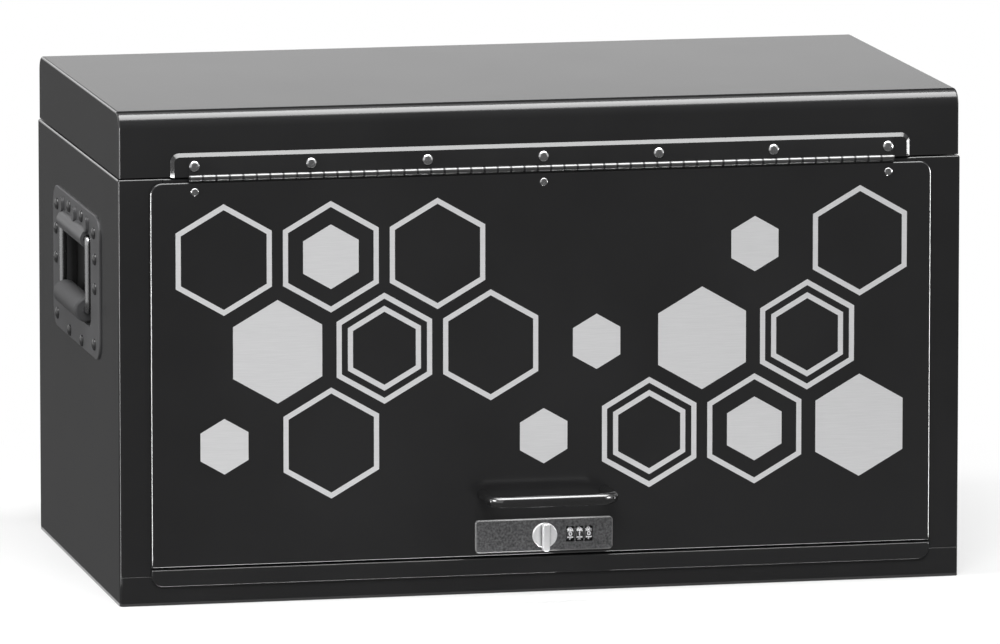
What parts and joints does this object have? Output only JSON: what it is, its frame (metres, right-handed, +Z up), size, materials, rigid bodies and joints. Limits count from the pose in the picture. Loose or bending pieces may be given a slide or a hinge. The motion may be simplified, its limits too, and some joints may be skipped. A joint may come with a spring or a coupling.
{
  "type": "tool chest",
  "caption": "Black steel tool chest with a lift-up lid over a till, a hinged front cover with bow handle and combination lock, drawers behind it, and drop handles on the sides.",
  "frame": {"origin": "on the floor under the middle of the case", "axes": "+X to the right along the front, +Y from front to back, +Z up"},
  "size_m": [0.6824, 0.4143, 0.38],
  "materials": {
    "case_paint": "gloss black powder coat",
    "hinge_paint": "black coat, worn bright on the knuckles",
    "handle_plate_paint": "semi-gloss black coat",
    "drawer_paint": "satin black powder coat",
    "zinc": "bright zinc plate",
    "bright_fastener": "polished nickel plate",
    "bow_enamel": "high gloss black enamel",
    "lock_casting": "sand-textured dark grey die casting",
    "knob_chrome": "satin chrome",
    "wheel_chrome": "polished chrome",
    "bail_steel": "bright bent wire",
    "grip_rubber": "matt black moulded rubber"
  },
  "bodies": {
    "case": {"left_side_panel": "case_paint", "right_side_panel": "case_paint", "back_panel": "case_paint", "base_pan": "case_paint", "bottom_rail": "case_paint", "top_rail": "case_paint", "till_floor": "case_paint", "till_edging": "case_paint", "runner_supports": "zinc", "drawer_dividers": "zinc", "cabinet_runners": "zinc", "lid_hinge_lower_leaf": "hinge_paint", "lid_hinge_pin": "zinc", "lid_hinge_lower_rivets": "bright_fastener", "left_handle_plate": "handle_plate_paint", "right_handle_plate": "handle_plate_paint", "handle_rivets": "handle_plate_paint"},
    "lid": {"lid_shell": "case_paint", "lid_ends": "case_paint", "lid_hinge_upper_leaf": "hinge_paint", "lid_hinge_upper_rivets": "bright_fastener", "cover_hinge_upper_leaf": "hinge_paint", "cover_hinge_pin": "zinc", "cover_hinge_upper_screws": "bright_fastener"},
    "cover": {"front_cover": "case_paint", "cover_hinge_lower_leaf": "hinge_paint", "cover_hinge_lower_screws": "bright_fastener", "cover_hinge_nuts": "zinc", "bow_handle": "bow_enamel", "bow_handle_screws": "zinc", "lock_plate": "lock_casting", "lock_body": "lock_casting", "lock_screws": "zinc", "wheel_axle": "zinc"},
    "knob": {"lock_knob": "knob_chrome", "lock_cam": "zinc", "cam_nut": "zinc"},
    "left_drop_handle": {"left_bail": "bail_steel", "left_grip": "grip_rubber"},
    "right_drop_handle": {"right_bail": "bail_steel", "right_grip": "grip_rubber"},
    "wheel_1": {"number_wheel_1": "wheel_chrome"},
    "wheel_2": {"number_wheel_2": "wheel_chrome"},
    "wheel_3": {"number_wheel_3": "wheel_chrome"},
    "drawer_1": {"drawer_1_box": "drawer_paint", "drawer_1_front": "drawer_paint", "drawer_1_runners": "zinc"},
    "drawer_2": {"drawer_2_box": "drawer_paint", "drawer_2_front": "drawer_paint", "drawer_2_runners": "zinc"},
    "drawer_3": {"drawer_3_box": "drawer_paint", "drawer_3_front": "drawer_paint", "drawer_3_runners": "zinc"},
    "drawer_4": {"drawer_4_box": "drawer_paint", "drawer_4_front": "drawer_paint", "drawer_4_runners": "zinc"},
    "drawer_5": {"drawer_5_box": "drawer_paint", "drawer_5_front": "drawer_paint", "drawer_5_runners": "zinc"},
    "drawer_6": {"drawer_6_box": "drawer_paint", "drawer_6_front": "drawer_paint", "drawer_6_runners": "zinc"}
  },
  "joints": [
    {"name": "lid_hinge", "type": "hinge", "parent": "case", "child": "lid", "pos_m": [0, 0.1818, 0.3295], "axis": [-1, 0, 0], "range_deg": [0, 95]},
    {"name": "cover_hinge", "type": "hinge", "parent": "lid", "child": "cover", "pos_m": [0, -0.1854, 0.3295], "axis": [-1, 0, 0], "range_deg": [0, 160]},
    {"name": "knob_turn", "type": "hinge", "parent": "cover", "child": "knob", "pos_m": [0, -0.18, 0.04515], "axis": [0, -1, 0], "range_deg": [0, 90]},
    {"name": "left_handle_swing", "type": "hinge", "parent": "case", "child": "left_drop_handle", "pos_m": [-0.3315, 0, 0.266], "axis": [0, 1, 0], "range_deg": [0, 90]},
    {"name": "right_handle_swing", "type": "hinge", "parent": "case", "child": "right_drop_handle", "pos_m": [0.3315, 0, 0.266], "axis": [0, -1, 0], "range_deg": [0, 90]},
    {"name": "wheel_1_turn", "type": "hinge", "parent": "cover", "child": "wheel_1", "pos_m": [0.0204, -0.1818, 0.04515], "axis": [1, 0, 0], "continuous": true},
    {"name": "wheel_2_turn", "type": "hinge", "parent": "cover", "child": "wheel_2", "pos_m": [0.0277, -0.1818, 0.04515], "axis": [1, 0, 0], "continuous": true},
    {"name": "wheel_3_turn", "type": "hinge", "parent": "cover", "child": "wheel_3", "pos_m": [0.035, -0.1818, 0.04515], "axis": [1, 0, 0], "continuous": true},
    {"name": "drawer_1_slide", "type": "slide", "parent": "case", "child": "drawer_1", "axis": [0, -1, 0], "range_m": [0, 0.1901]},
    {"name": "drawer_2_slide", "type": "slide", "parent": "case", "child": "drawer_2", "axis": [0, -1, 0], "range_m": [0, 0.1901]},
    {"name": "drawer_3_slide", "type": "slide", "parent": "case", "child": "drawer_3", "axis": [0, -1, 0], "range_m": [0, 0.1901]},
    {"name": "drawer_4_slide", "type": "slide", "parent": "case", "child": "drawer_4", "axis": [0, -1, 0], "range_m": [0, 0.1901]},
    {"name": "drawer_5_slide", "type": "slide", "parent": "case", "child": "drawer_5", "axis": [0, -1, 0], "range_m": [0, 0.1901]},
    {"name": "drawer_6_slide", "type": "slide", "parent": "case", "child": "drawer_6", "axis": [0, -1, 0], "range_m": [0, 0.1901]}
  ],
  "couplings": [
    {"joint": "drawer_1_slide", "follows": "cover_hinge", "m_per_rad": 0.06804},
    {"joint": "drawer_2_slide", "follows": "cover_hinge", "m_per_rad": 0.06804},
    {"joint": "drawer_3_slide", "follows": "cover_hinge", "m_per_rad": 0.06804},
    {"joint": "drawer_4_slide", "follows": "cover_hinge", "m_per_rad": 0.06804},
    {"joint": "drawer_5_slide", "follows": "cover_hinge", "m_per_rad": 0.06804},
    {"joint": "drawer_6_slide", "follows": "cover_hinge", "m_per_rad": 0.06804}
  ]
}
